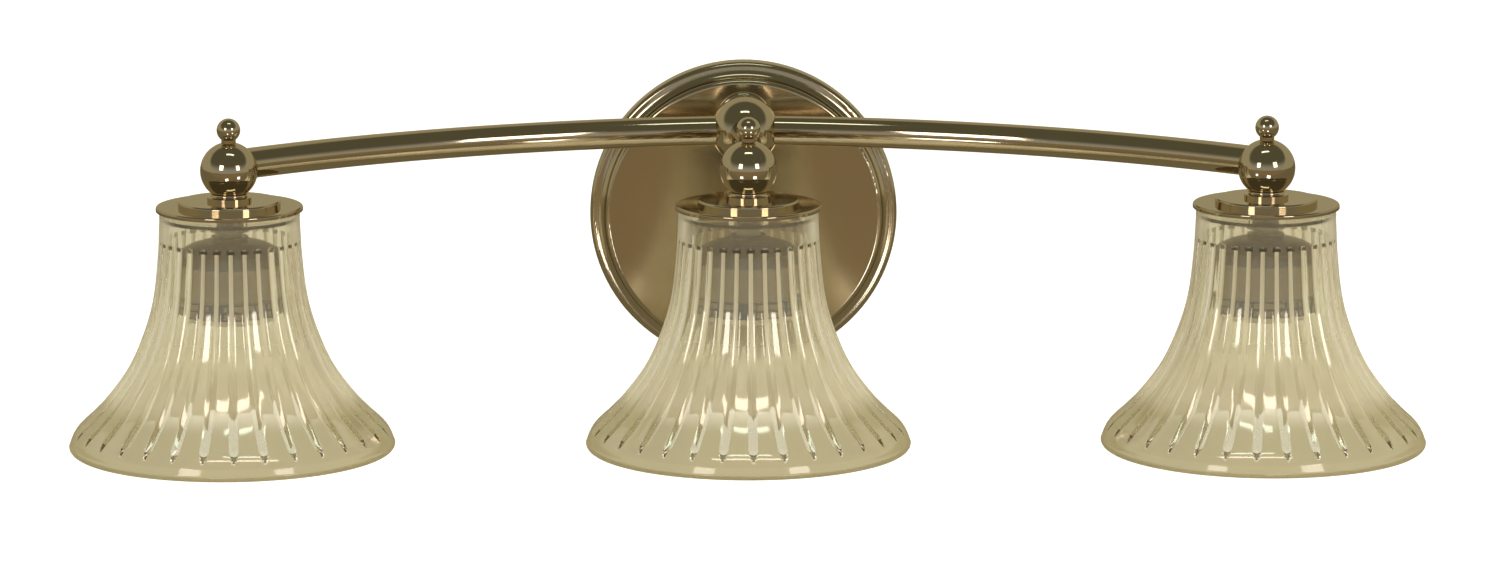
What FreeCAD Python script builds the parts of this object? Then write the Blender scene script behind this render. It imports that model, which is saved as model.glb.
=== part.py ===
"""Wall light for over a bathroom mirror: a round wall plate, a ball hub, two swept side
arms and a straight front arm, and three bell-shaped glass shades hanging mouth down.

Millimetres, +Z up. The origin is the centre of the wall plate's back plane, the wall is
the plane y = 0, the light stands out towards -Y and +X is to the right of a viewer.
"""
import FreeCAD, Part
import math
import os

V = FreeCAD.Vector
ORIGIN = V(0, 0, 0)
UP = V(0, 0, 1)
FORWARD = V(0, -1, 0)
RIGHT = V(1, 0, 0)

# ---- Wall plate: a spun pan with a rolled skirt, a cove and a flat polished field ----
plate_radius = 66.0
plate_skirt = 5.5          # straight side that stands on the wall
plate_bead = 2.5           # round at the front of the skirt
plate_cove = 4.0           # hollow moulding inside the bead
plate_riser = 1.0          # straight step inside the cove
plate_lip = 2.0            # round that turns into the flat field
plate_sheet = 0.9

# ---- Wall strap inside the plate, screwed to the box in the wall ----
strap_width = 19.0
strap_thick = 1.6
strap_end_gap = 2.0        # from the strap's turned end to the plate's skirt
strap_tab = 6.5            # how far the turned ends reach forward
slot_spacing = 79.4        # between the middles of the two slots
slot_length = 14.2
slot_width = 4.6
set_screw_radius = 2.0
set_screw_length = 7.0
set_screw_height = 2.9     # from the wall to the set screws' axis
ground_screw_radius = 2.0
ground_screw_place = 22.0  # from the strap's middle

# ---- Arms ----
hub_below_rim = 23.8       # from the plate's upper edge down to the hub's middle
hub_reach = 42.0           # from the wall to the middle of the hub
light_reach = 127.0        # from the wall to the lights' axes
light_pitch = 214.4        # from the middle light to a side light
arm_start_angle = 4.0      # how far a side arm already leans forward at the hub
tube_radius = 6.35
tube_wall = 1.0
hub_radius = 14.4
hub_seat = 13.0            # from the hub's middle to the flat that meets the post
hub_socket = 7.4           # from the hub's middle to the ends of the tubes
post_radius = 6.2
post_foot_radius = 12.0
post_foot = 2.6
post_ring = 8.0

# ---- Screwed nipples (hollow threaded rod) ----
nipple_radius = 5.0
nipple_bore = 3.6
nut_across = 16.0
nut_thick = 4.0
washer_thick = 1.0
washer_radius = 10.0

# ---- Ball, finial and collar on each light ----
ball_drop = 2.0            # how far a ball's middle hangs below its tube's axis
ball_radius = 11.9
ball_socket = 6.6          # from the ball's middle to the end of the tube
ball_flat = 11.55          # from the ball's middle to the flat under the finial
finial_radius = 4.9
finial_neck = 3.0
finial_rise = 16.9         # from the ball's middle to the finial's middle
finial_stud_radius = 2.4
finial_stud = 6.0
collar_radius = 9.2
collar_waist = 7.4
collar_side = 1.5          # straight side below the collar's cove
collar_cove = 1.3          # hollow that draws the collar in under the ball
nipple_top = 4.5           # from the ball's middle down to the nipple's upper end

# ---- Shade cap ----
cap_drop = 14.7            # from the ball's middle to the top of the cap's flange
cap_radius = 30.4
cap_step_radius = 21.2
cap_step = 2.3
cap_sheet = 0.8
cap_lip = 1.8              # how far the rolled edge reaches down
gasket_thick = 0.6
gasket_width = 5.0

# ---- Glass shade: radius at each depth below the flange's top ----
shade_neck_radius = 29.0
shade_neck_depth = 6.0
shade_curve = [(29.9, 21.5), (32.0, 38.95), (36.3, 53.9), (43.2, 69.0), (54.2, 83.65), (64.3, 93.55)]
shade_mouth_radius = 67.6
shade_mouth_depth = 100.3
shade_wall = 2.6
shade_shoulder = 0.8       # round between the shade's flat top and its neck
shade_lip = 2.3            # radius of the rounded lip
shade_top = 3.0            # thickness of the flat glass top
flute_count = 32
flute_start = 13.6         # depth of the ring where the flutes begin
flute_end = 95.6           # depth of their pointed ends
flute_depth = 0.8
flute_width = 3.8          # width of a flute's groove, nearly the same all the way down
shade_turn = {"left": 3.6, "centre": 0.9, "right": 3.9}  # degrees, how each glass stands on its seat
flute_lift = 0.3           # how far the cutter's two ends stand off the glass

# ---- Lamp socket (E26) ----
socket_drop = 12.6         # from the flange's top to the socket cap's upper end
socket_neck_radius = 7.6
socket_neck = 2.2
socket_dome = 4.0
socket_cap_skirt = 5.0
socket_radius = 21.0
socket_sheet = 0.7
socket_end_depth = 45.0    # from the flange's top to the socket's mouth
socket_ring = 7.3          # height of the wider ring at the socket's mouth
socket_ring_step = 0.9     # how far the ring stands out from the sleeve
insulator_radius = 18.8
insulator_floor = 3.4
lamp_bore = 13.25          # inside radius of the screw shell
lamp_shell_sheet = 0.4
lamp_bore_length = 18.0
lamp_shell_inset = 0.5     # from the insulator's mouth to the shell's lower edge
contact_gap = 0.4          # from the shell's upper edge to the tip of the contact
insulator_nose = 2.8       # how far the insulator stands out of the sleeve's mouth
insulator_nose_radius = 17.2
insulator_band = 4.0       # height of the insulator's part that fits the sleeve
contact_radius = 2.6
contact_height = 2.2

# ---- Leads and their connectors ----
lead_radius = 1.2
lead_bend = 3.2            # radius of a lead's tight corners
lead_ring = 2.1            # the three leads stand round this circle in the hub's nipple
lead_slack = 3.2           # from the nipple's end to where the leads turn in the pan
connector_radius = 4.8
connector_tip_radius = 2.8
connector_mouth_radius = 2.8
connector_length = 15.0
connector_cavity = 8.0
connector_place = 8.0      # from the plate's middle to a connector's axis
connector_spread = 1.35    # between the two leads that share a connector
connector_reach = 7.0      # from the wall to the connectors' axes
connector_height = 12.0    # from the plate's middle up to the connectors' tips

# ---- Clearances ----
screw_gap = 0.05           # radial, of a piece in the hole that it is screwed or soldered into
glass_gap = 0.6            # radial, of the glass round the nipple and inside the cap's edge
hole_gap = 0.4             # radial, of a screw in a plain hole
lead_end_gap = 0.3         # from a lead's end to the floor of its connector

# ---- Worked out from the above ----
hub_height = plate_radius - hub_below_rim
plate_depth = plate_skirt + plate_bead + plate_cove + plate_riser + plate_lip
ball_height = hub_height - ball_drop
cap_height = ball_height - cap_drop
glass_top_depth = cap_sheet + gasket_thick
glass_underside_depth = glass_top_depth + shade_top
nut_depth = glass_underside_depth + 2 * washer_thick
nipple_back = plate_depth - plate_sheet - washer_thick - nut_thick - 1
insulator_mouth_depth = socket_end_depth + insulator_nose
lamp_shell_depth = insulator_mouth_depth - lamp_shell_inset
contact_tip_depth = lamp_shell_depth - lamp_bore_length - contact_gap
insulator_floor_depth = contact_tip_depth - contact_height
insulator_top_depth = insulator_floor_depth - insulator_floor
arm_chord = math.hypot(light_pitch, light_reach - hub_reach)
arm_chord_angle = math.atan2(light_reach - hub_reach, light_pitch)
arm_lean = math.radians(arm_start_angle)
arm_turn = 2 * (arm_chord_angle - arm_lean)
arm_radius = arm_chord / 2 / math.sin(arm_turn / 2)
arm_centre = V(-arm_radius * math.sin(arm_lean), -hub_reach - arm_radius * math.cos(arm_lean), hub_height)
lights = {"left": -light_pitch, "centre": 0.0, "right": light_pitch}


# ---- Helpers ----
def bend(centre_r, centre_h, radius, start, stop):
    """An outline's step round an arc: the arc's middle point and end point, angles in degrees."""
    middle = math.radians((start + stop) / 2)
    end = math.radians(stop)
    return (centre_r + radius * math.cos(middle), centre_h + radius * math.sin(middle),
            centre_r + radius * math.cos(end), centre_h + radius * math.sin(end))


def outline_edges(steps):
    """Edges in the XZ plane: a pair is a point to go straight to, four numbers are an arc."""
    edges = []
    here = V(steps[0][0], 0, steps[0][1])
    for step in steps[1:]:
        there = V(step[-2], 0, step[-1])
        if len(step) == 4:
            edges.append(Part.Arc(here, V(step[0], 0, step[1]), there).toShape())
        elif here.distanceToPoint(there) > 1e-6:
            edges.append(Part.makeLine(here, there))
        here = there
    return edges


def spin(edges):
    """Solid turned about Z from the edges of a closed outline."""
    face = Part.Face(Part.Wire(Part.__sortEdges__(edges)))
    solid = face.revolve(ORIGIN, UP, 360)
    return solid if solid.Volume > 0 else solid.reversed()


def turned(steps):
    """Solid turned about Z from a closed outline of (radius, height) steps."""
    return spin(outline_edges(steps + [steps[0]]))


def ring(outer, inner, low, high):
    """Flat or tall ring about Z between two heights."""
    return turned([(inner, low), (outer, low), (outer, high), (inner, high)])


def rod(radius, start, end):
    """Cylinder from one point to another."""
    axis = end - start
    return Part.makeCylinder(radius, axis.Length, start, axis)


def hex_nut(across, thick, bore):
    """Six-sided nut standing on z = 0, its corners eased, with a plain bore."""
    corner = across / math.sqrt(3)
    points = [V(corner * math.cos(math.radians(60 * i)), corner * math.sin(math.radians(60 * i)), 0)
              for i in range(7)]
    prism = Part.Face(Part.makePolygon(points)).extrude(V(0, 0, thick))
    ease = thick / 8
    barrel = turned([(0, 0), (across / 2, 0), (corner, ease), (corner, thick - ease),
                     (across / 2, thick), (0, thick)])
    return prism.common(barrel).cut(Part.makeCylinder(bore, thick))


def facing_forward(solid, height, reach=0.0):
    """Turn a solid made about Z to stand out from the wall, at a height above the plate's middle."""
    moved = solid.copy()
    moved.rotate(ORIGIN, RIGHT, 90)
    moved.translate(V(0, -reach, height))
    return moved


def mirrored(solid):
    """The same piece on the other side of the light."""
    return solid.mirror(ORIGIN, RIGHT)


# ---- Wall plate and what is inside it ----
def plate_section(inset):
    """Half section of the plate's skin, moved inwards by an inset, from its foot to the axis."""
    radius = plate_radius
    bead_r = radius - plate_bead
    cove_h = plate_skirt + plate_bead + plate_cove
    riser_r = bead_r - plate_cove
    lip_h = cove_h + plate_riser
    return [(radius - inset, 0), (radius - inset, plate_skirt),
            bend(bead_r, plate_skirt, plate_bead - inset, 0, 90),
            bend(bead_r, cove_h, plate_cove + inset, 270, 180),
            (riser_r - inset, lip_h),
            bend(riser_r - plate_lip, lip_h, plate_lip - inset, 0, 90),
            (0, plate_depth - inset)]


def backplate():
    outside = turned(plate_section(0) + [(0, 0)])
    inside = turned(plate_section(plate_sheet) + [(0, 0)])
    pan = facing_forward(outside.cut(inside), 0)
    pan = pan.cut(rod(nipple_radius + hole_gap, V(0, 0, hub_height), V(0, -plate_depth, hub_height)))
    side = V(plate_radius + 1, -set_screw_height, 0)
    return pan.cut(rod(set_screw_radius + hole_gap, side, V(-side.x, side.y, 0)))


def wall_strap():
    half = plate_radius - plate_sheet - strap_end_gap
    bar = Part.makeBox(2 * half, strap_thick, strap_width, V(-half, -strap_thick, -strap_width / 2))
    for side in (-half, half - strap_thick):
        bar = bar.fuse(Part.makeBox(strap_thick, strap_tab, strap_width, V(side, -strap_tab, -strap_width / 2)))
    bar = bar.removeSplitter()
    corners = [edge for edge in bar.Edges
               if abs(abs(edge.CenterOfMass.x) - half) < 0.01 and abs(edge.CenterOfMass.y) < 0.01]
    bar = bar.makeFillet(strap_thick * 0.9, corners)
    straight = (slot_length - slot_width) / 2
    for place in (-slot_spacing / 2, slot_spacing / 2):
        ends = [V(place + shift, 0, 0) for shift in (-straight, straight)]
        slot = Part.makeBox(2 * straight, strap_thick, slot_width, V(ends[0].x, -strap_thick, -slot_width / 2))
        for end in ends:
            slot = slot.fuse(rod(slot_width / 2, end, end + FORWARD * strap_thick))
        bar = bar.cut(slot)
    tapped = set_screw_radius + screw_gap
    bar = bar.cut(rod(tapped, V(-half - 1, -set_screw_height, 0), V(half + 1, -set_screw_height, 0)))
    ground = V(-ground_screw_place, 0, 0)
    return bar.cut(rod(ground_screw_radius + screw_gap, ground, ground + FORWARD * strap_thick))


def canopy_set_screws():
    outer = plate_radius
    right = rod(set_screw_radius, V(outer, -set_screw_height, 0), V(outer - set_screw_length, -set_screw_height, 0))
    driver = rod(set_screw_radius / 2, V(outer, -set_screw_height, 0), V(outer - set_screw_radius, -set_screw_height, 0))
    right = right.cut(driver)
    return Part.makeCompound([right, mirrored(right)])


def ground_screw():
    shank = Part.makeCylinder(ground_screw_radius, strap_thick)
    head_radius = 2 * ground_screw_radius
    head = turned([(0, 0), (head_radius, 0), (head_radius, 0.8), (head_radius - 0.8, 2.4), (0, 2.4)])
    head.translate(V(0, 0, strap_thick))
    notch = Part.makeBox(3 * head_radius, 1.0, 1.2, V(-1.5 * head_radius, -0.5, strap_thick + 1.4))
    screw = facing_forward(shank.fuse(head).cut(notch), 0)
    screw.translate(V(-ground_screw_place, 0, 0))
    return screw


# ---- Hub ----
def hub_post():
    length = hub_reach - hub_seat - plate_depth
    ring_h = length - post_ring / 4
    body = turned([(nipple_radius + screw_gap, 0), (post_foot_radius, 0),
                   (post_foot_radius, post_foot / 2),
                   bend(post_foot_radius - post_foot / 2, post_foot / 2, post_foot / 2, 0, 90),
                   bend(post_foot_radius - post_foot / 2, post_foot + 4, 4, 270, 180),
                   (post_radius, ring_h - 1.6), (post_ring, ring_h - 1.6),
                   bend(post_ring, ring_h - 0.8, 0.8, -90, 90),
                   (post_radius, ring_h), (post_radius, length), (nipple_radius + screw_gap, length)])
    return facing_forward(body, hub_height, plate_depth)


def hub_nipple():
    front = hub_reach - hub_socket - 1
    return facing_forward(ring(nipple_radius, nipple_bore, nipple_back, front), hub_height)


def hub_washer():
    back = plate_depth - plate_sheet - washer_thick
    return facing_forward(ring(washer_radius, nipple_radius + hole_gap, back, back + washer_thick), hub_height)


def hub_nut():
    nut = hex_nut(nut_across, nut_thick, nipple_radius + screw_gap)
    return facing_forward(nut, hub_height, plate_depth - plate_sheet - washer_thick - nut_thick)


def arm_point(distance):
    """A point on the right arm's centreline, at a distance along it from the hub's middle."""
    angle = arm_lean + distance / arm_radius
    return arm_centre + V(arm_radius * math.sin(angle), arm_radius * math.cos(angle), 0)


def side_bar(radius, start, end):
    """Round bar along the right arm's centreline, between two distances from the hub's middle."""
    angle = arm_lean + start / arm_radius
    along = V(math.cos(angle), -math.sin(angle), 0)
    disc = Part.Face(Part.Wire(Part.makeCircle(radius, arm_point(start), along)))
    return disc.revolve(arm_centre, V(0, 0, -1), math.degrees((end - start) / arm_radius))


def front_bar(radius, start, end):
    """Round bar along the front arm's centreline, between two distances from the hub's middle."""
    middle = V(0, -hub_reach, hub_height)
    return rod(radius, middle + FORWARD * start, middle + FORWARD * end)


side_arm_length = arm_radius * arm_turn
front_arm_length = light_reach - hub_reach


def arm_side():
    outside = side_bar(tube_radius, hub_socket, side_arm_length - ball_socket)
    return outside.cut(side_bar(tube_radius - tube_wall, hub_socket, side_arm_length - ball_socket))


def arm_front():
    outside = front_bar(tube_radius, hub_socket, front_arm_length - ball_socket)
    return outside.cut(front_bar(tube_radius - tube_wall, hub_socket, front_arm_length - ball_socket))


def hub_ball():
    """Ball drilled for the three tubes and the nipple, its bores meeting in the middle."""
    middle = V(0, -hub_reach, hub_height)
    bars = [make_bar(tube_radius + screw_gap, hub_socket, 2 * hub_radius) for make_bar in (side_bar, front_bar)]
    bars += [make_bar(tube_radius - tube_wall, 0, hub_socket) for make_bar in (side_bar, front_bar)]
    bars += [mirrored(bars[0]), mirrored(bars[2])]
    body = Part.makeSphere(hub_radius)
    body = body.cut(Part.makeBox(2 * hub_radius, hub_radius, 2 * hub_radius, V(-hub_radius, hub_seat, -hub_radius)))
    body = body.cut(rod(nipple_radius + screw_gap, ORIGIN, V(0, hub_radius, 0)))
    for bar in bars:
        bar.translate(-middle)
        body = body.cut(bar)
    body.translate(middle)
    return body


# ---- Pieces of one light, made about Z with the ball's middle or the cap's flange at z = 0 ----
def finial():
    neck_height = finial_rise - ball_flat
    round_part = Part.makeSphere(finial_radius, V(0, 0, neck_height))
    below = Part.makeCylinder(2 * finial_radius, finial_radius, V(0, 0, -finial_radius))
    neck = Part.makeCylinder(finial_neck, neck_height / 2)
    stud = Part.makeCylinder(finial_stud_radius, finial_stud, V(0, 0, -finial_stud))
    knob = round_part.cut(below).fuse(neck).fuse(stud)
    knob.translate(V(0, 0, ball_flat))
    return knob


def ball(tube_bars):
    """Ball with its sockets for the tube, the finial's stud and the nipple, and a way for the lead."""
    body = Part.makeSphere(ball_radius)
    body = body.cut(Part.makeCylinder(ball_radius, ball_radius, V(0, 0, ball_flat)))
    body = body.cut(Part.makeCylinder(finial_stud_radius + screw_gap, ball_radius))
    body = body.cut(Part.makeCylinder(nipple_radius + screw_gap, ball_radius, V(0, 0, -ball_radius)))
    for bar in tube_bars:
        body = body.cut(bar)
    return body


def collar():
    """Turned cup with a straight side and a hollow cove that carries the ball on the cap."""
    base = cap_step - cap_drop
    top = base + collar_side + collar_cove
    body = turned([(nipple_radius + screw_gap, base), (collar_radius, base), (collar_radius, base + collar_side),
                   (collar_waist + collar_cove, base + collar_side),
                   bend(collar_waist + collar_cove, top, collar_cove, 270, 180),
                   (nipple_radius + screw_gap, top)])
    return body.cut(Part.makeSphere(ball_radius + screw_gap))


def nipple():
    low = -cap_drop - socket_drop - socket_neck - 1
    return ring(nipple_radius, nipple_bore, low, -nipple_top)


def cap():
    """Spun cap: a flat raised step, a flange and an edge rolled down round the glass."""
    roll = cap_radius - cap_sheet
    outside = [(nipple_radius + hole_gap, cap_step), (cap_step_radius - cap_sheet, cap_step),
               bend(cap_step_radius - cap_sheet, cap_step - cap_sheet, cap_sheet, 90, 0),
               (cap_step_radius, 0), (roll, 0), bend(roll, -cap_sheet, cap_sheet, 90, 0),
               (cap_radius, -cap_lip)]
    inside = [(roll, -cap_lip), (roll, -cap_sheet), (cap_step_radius - cap_sheet, -cap_sheet),
              (cap_step_radius - cap_sheet, cap_step - cap_sheet),
              (nipple_radius + hole_gap, cap_step - cap_sheet)]
    return turned(outside + inside)


def gasket():
    outer = shade_neck_radius - shade_shoulder
    return ring(outer, outer - gasket_width, -glass_top_depth, -cap_sheet)


def shade_profile():
    """Smooth curve of the glass's outside, from its neck to its mouth."""
    points = [(shade_neck_radius, shade_neck_depth)] + shade_curve + [(shade_mouth_radius, shade_mouth_depth)]
    curve = Part.BSplineCurve()
    curve.interpolate([V(radius, 0, -depth) for radius, depth in points],
                      InitialTangent=V(0, 0, -1), FinalTangent=V(0.25, 0, -1))
    return curve


def inner_profile(outer):
    """The glass's inside: the outer curve moved in by the wall, which thickens into the lip."""
    first, last = outer.FirstParameter, outer.LastParameter
    steps = len(shade_curve) + 1
    points = []
    for step in range(steps + 1):
        where = first + (last - first) * step / steps
        along = outer.tangent(where)[0]
        wall = shade_wall + (2 * shade_lip - shade_wall) * (step / steps) ** 8
        inward = V(along.z, 0, -along.x)
        if step == steps:
            inward = V(-1, 0, 0)
        points.append(outer.value(where) + inward * wall)
    curve = Part.BSplineCurve()
    curve.interpolate(points)
    return curve


def place_at_depth(curve, depth):
    """The parameter at which the glass's profile passes a depth."""
    low, high = curve.FirstParameter, curve.LastParameter
    while high - low > 1e-9:
        middle = (low + high) / 2
        if -curve.value(middle).z < depth:
            low = middle
        else:
            high = middle
    return low


def flute_cutter(outer):
    """Long V-shaped cutter that follows the glass, blunt at the neck and pointed at the mouth."""
    start, end = place_at_depth(outer, flute_start), place_at_depth(outer, flute_end)

    def off_surface(where, distance):
        along = outer.tangent(where)[0]
        return outer.value(where) + V(-along.z, 0, along.x) * distance

    sections = [Part.Vertex(off_surface(start, flute_lift))]
    for share, size in ((0.02, 0.9), (0.06, 1.0), (0.25, 1.0), (0.45, 1.0), (0.65, 1.0), (0.82, 1.0),
                        (0.93, 1.0), (0.97, 0.6)):
        where = start + (end - start) * share
        root = off_surface(where, -flute_depth * size)
        edge = off_surface(where, flute_depth * size / 2)
        side = V(0, 0.75 * flute_width * size, 0)
        sections.append(Part.makePolygon([root, edge + side, edge - side, root]))
    return Part.makeLoft(sections + [Part.Vertex(off_surface(end, flute_lift))], True)


def shade():
    outer = shade_profile()
    inner = inner_profile(outer)
    neck, mouth = outer.value(outer.FirstParameter), outer.value(outer.LastParameter)
    throat, lip_end = inner.value(inner.FirstParameter), inner.value(inner.LastParameter)
    top = -glass_top_depth
    under = -glass_underside_depth
    hole = nipple_radius + glass_gap
    lip_low = V((mouth.x + lip_end.x) / 2, 0, mouth.z - shade_lip)
    shoulder = outline_edges([(neck.x, neck.z), (neck.x, top - shade_shoulder),
                              bend(neck.x - shade_shoulder, top - shade_shoulder, shade_shoulder, 0, 90),
                              (hole, top), (hole, under), (throat.x, under), (throat.x, throat.z)])
    bell = spin([outer.toShape(), inner.toShape(), Part.Arc(mouth, lip_low, lip_end).toShape()] + shoulder)
    cutter = flute_cutter(outer)
    return bell.cut(Part.makeCompound([cutter.rotated(ORIGIN, UP, 360 * flute / flute_count)
                                       for flute in range(flute_count)]))


def shade_washer():
    return ring(washer_radius + 1, nipple_radius + hole_gap, -glass_underside_depth - washer_thick,
                -glass_underside_depth)


def steel_washer():
    return ring(washer_radius, nipple_radius + hole_gap, -nut_depth, -nut_depth + washer_thick)


def lock_nut():
    nut = hex_nut(nut_across, nut_thick, nipple_radius + screw_gap)
    nut.translate(V(0, 0, -nut_depth - nut_thick))
    return nut


def socket_cap():
    """Domed metal cap of the lamp socket, screwed on the nipple."""
    top = -socket_drop
    dome_top = top - socket_neck
    dome_low = dome_top - socket_dome
    low = dome_low - socket_cap_skirt
    bore = nipple_radius + screw_gap
    rise = (socket_radius - socket_neck_radius) / 2
    inner = socket_radius - socket_sheet
    return turned([(bore, top), (socket_neck_radius, top), (socket_neck_radius, dome_top),
                   (socket_neck_radius + rise * 1.25, dome_top - socket_dome * 0.3, socket_radius, dome_low),
                   (socket_radius, low), (inner, low), (inner, dome_low),
                   (socket_neck_radius + rise * 1.25 - socket_sheet, dome_top - socket_dome * 0.3 - socket_sheet,
                    socket_neck_radius, dome_top - socket_sheet), (bore, dome_top - socket_sheet)])


def socket_sleeve():
    """Plain sleeve of the socket with a wider ring at its mouth, pushed up into the cap's skirt."""
    outer = socket_radius - socket_sheet - screw_gap
    inner = outer - socket_sheet
    top = -(socket_drop + socket_neck + socket_dome + 0.5)
    low = -socket_end_depth
    ease = socket_ring_step / 2
    high, wide = low + socket_ring, outer + socket_ring_step
    return turned([(inner, top), (outer, top), (outer, high), (wide - ease, high),
                   bend(wide - ease, high - ease, ease, 90, 0), (wide, low + ease),
                   bend(wide - ease, low + ease, ease, 0, -90), (inner, low)])


def insulator():
    """Moulded body of the socket: a thick cup round the screw shell."""
    mouth = -insulator_mouth_depth
    floor = -insulator_floor_depth
    top = -insulator_top_depth
    outer = socket_radius - socket_sheet - screw_gap - socket_sheet - screw_gap
    shoulder = outer - insulator_radius
    seat = lamp_bore + lamp_shell_sheet + screw_gap
    low = 0.6 - socket_end_depth
    high = low + insulator_band
    body = turned([(0, floor), (seat, floor), (seat, mouth), (insulator_nose_radius, mouth),
                   (insulator_nose_radius, low), (outer, low), (outer, high),
                   (insulator_radius, high + shoulder), (insulator_radius, top - 2),
                   (insulator_radius - 4, top), (0, top)])
    return body.cut(Part.makeCylinder(lead_radius + hole_gap, insulator_floor, V(0, 0, floor)))


def screw_shell():
    low = -lamp_shell_depth
    return ring(lamp_bore + lamp_shell_sheet, lamp_bore, low, low + lamp_bore_length)


def centre_contact():
    """Sprung tongue on the socket's floor that meets the lamp's tip."""
    floor = -insulator_floor_depth
    sheet = lamp_shell_sheet
    return turned([(lead_radius + hole_gap, floor), (contact_radius + 1.5, floor),
                   (contact_radius + 1.5, floor - sheet), (contact_radius, floor - sheet),
                   (contact_radius - sheet, floor - contact_height + sheet),
                   (0, floor - contact_height), (0, floor - contact_height + sheet),
                   (contact_radius - 2 * sheet, floor - contact_height + 2 * sheet)])


# ---- Leads ----
def lead(points):
    """Round lead along straight runs joined by tangent arcs, tight only where it turns a corner."""
    edges = []
    here = points[0]
    for before, point, after in zip(points, points[1:], points[2:]):
        come, go = point - before, after - point
        shorter = min(come.Length, go.Length)
        come.normalize()
        go.normalize()
        half = come.getAngle(go) / 2
        radius = 0.45 * shorter / math.tan(half)
        if half > math.radians(30):
            radius = min(radius, lead_bend)
        setback = radius * math.tan(half)
        start, end = point - come * setback, point + go * setback
        middle = point + (go - come).normalize() * (radius / math.cos(half) - radius)
        edges.append(Part.makeLine(here, start))
        edges.append(Part.Arc(start, middle, end).toShape())
        here = end
    edges.append(Part.makeLine(here, points[-1]))
    section = Part.Wire(Part.makeCircle(lead_radius, points[0], points[1] - points[0]))
    return Part.Wire(edges).makePipeShell([section], True, False)


def lead_points(side):
    """Route of a light's lead: connector, pan, hub nipple, arm, ball, nipple, socket."""
    turn = math.radians({-1: 150, 0: 270, 1: 30}[side])
    shift = V(lead_ring * math.cos(turn), 0, lead_ring * math.sin(turn))
    start_x = {-1: -connector_place - connector_spread, 0: -connector_place + connector_spread,
               1: connector_place}[side]
    connector_mouth = connector_height + connector_length
    back = V(0, lead_slack - nipple_back, hub_height) + shift
    points = [V(start_x, -connector_reach, connector_mouth - connector_cavity + lead_end_gap),
              V(start_x, -connector_reach, connector_mouth + 2), back]
    if side:
        points.append(V(shift.x, -hub_reach, hub_height + shift.z))
        runs = 5
        for step in range(runs):
            place = arm_point(hub_socket + (side_arm_length - hub_socket - ball_socket) * step / (runs - 1))
            points.append(V(side * place.x, place.y, place.z))
        points.append(V(side * light_pitch, -light_reach, hub_height))
    else:
        points.append(V(0, -light_reach, hub_height + shift.z))
    points.append(V(side * light_pitch, -light_reach, cap_height - insulator_top_depth - insulator_floor / 2))
    return points


def lamp_leads():
    return Part.makeCompound([lead(lead_points(side)) for side in (-1, 0, 1)])


def wire_connectors():
    """Two twist-on caps that join the leads inside the wall plate."""
    cap = turned([(0, 0), (connector_tip_radius, 0), (connector_radius, connector_length * 0.4),
                  (connector_radius, connector_length), (connector_mouth_radius, connector_length),
                  (connector_mouth_radius, connector_length - connector_cavity),
                  (0, connector_length - connector_cavity)])
    cap.translate(V(connector_place, -connector_reach, connector_height))
    return Part.makeCompound([cap, mirrored(cap)])


# ---- All the pieces, each in its own file ----
def all_pieces():
    pieces = {
        "backplate": backplate(),
        "wall_strap": wall_strap(),
        "canopy_set_screws": canopy_set_screws(),
        "ground_screw": ground_screw(),
        "hub_post": hub_post(),
        "hub_nipple": hub_nipple(),
        "hub_washer": hub_washer(),
        "hub_nut": hub_nut(),
        "hub_ball": hub_ball(),
        "arm_right": arm_side(),
        "arm_left": mirrored(arm_side()),
        "arm_front": arm_front(),
        "lamp_leads": lamp_leads(),
        "wire_connectors": wire_connectors(),
    }
    socket = side_arm_length - ball_socket
    side_bars = [side_bar(tube_radius + screw_gap, socket - 2 * ball_radius, socket),
                 side_bar(tube_radius - tube_wall, socket, side_arm_length)]
    front_bars = [front_bar(tube_radius + screw_gap, front_arm_length - 3 * ball_radius, front_arm_length - ball_socket),
                  front_bar(tube_radius - tube_wall, front_arm_length - ball_socket, front_arm_length)]
    bars = {"right": side_bars, "left": [mirrored(bar) for bar in side_bars], "centre": front_bars}
    by_ball = {"finial": finial(), "collar": collar(), "nipple": nipple()}
    bell = shade()
    by_cap = {"cap": cap(), "gasket": gasket(), "shade_washer": shade_washer(),
              "steel_washer": steel_washer(), "lock_nut": lock_nut(), "socket_cap": socket_cap(),
              "socket_sleeve": socket_sleeve(), "insulator": insulator(), "screw_shell": screw_shell(),
              "centre_contact": centre_contact()}
    for name, x in lights.items():
        at_ball = V(x, -light_reach, ball_height)
        at_cap = V(x, -light_reach, cap_height)
        by_ball["ball"] = ball([bar.translated(-at_ball) for bar in bars[name]])
        by_cap["shade"] = bell.rotated(ORIGIN, UP, shade_turn[name])
        for group, place in ((by_ball, at_ball), (by_cap, at_cap)):
            for piece, solid in group.items():
                pieces[piece + "_" + name] = solid.translated(place)
    return pieces


os.makedirs("parts", exist_ok=True)
for node, solid in all_pieces().items():
    assert solid.isValid(), node
    solid.exportStep("parts/" + node + ".step")
    print(node, round(solid.Volume, 1), [round(v, 1) for v in (solid.BoundBox.XMin, solid.BoundBox.XMax,
          solid.BoundBox.YMin, solid.BoundBox.YMax, solid.BoundBox.ZMin, solid.BoundBox.ZMax)])
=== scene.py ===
# %% [markdown]
# # A vanity light with fluted glass bells
# This file dresses a wall light that hangs over a bathroom mirror: a round spun wall plate, a ball
# hub, three tube arms and three bell shades of pressed glass. The metal construction comes ready
# made, at its real size. The lesson is about what is left: how plated brass, pressed glass and the
# small hidden fittings are made to look like themselves.

# %% Load the construction
import math

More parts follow.
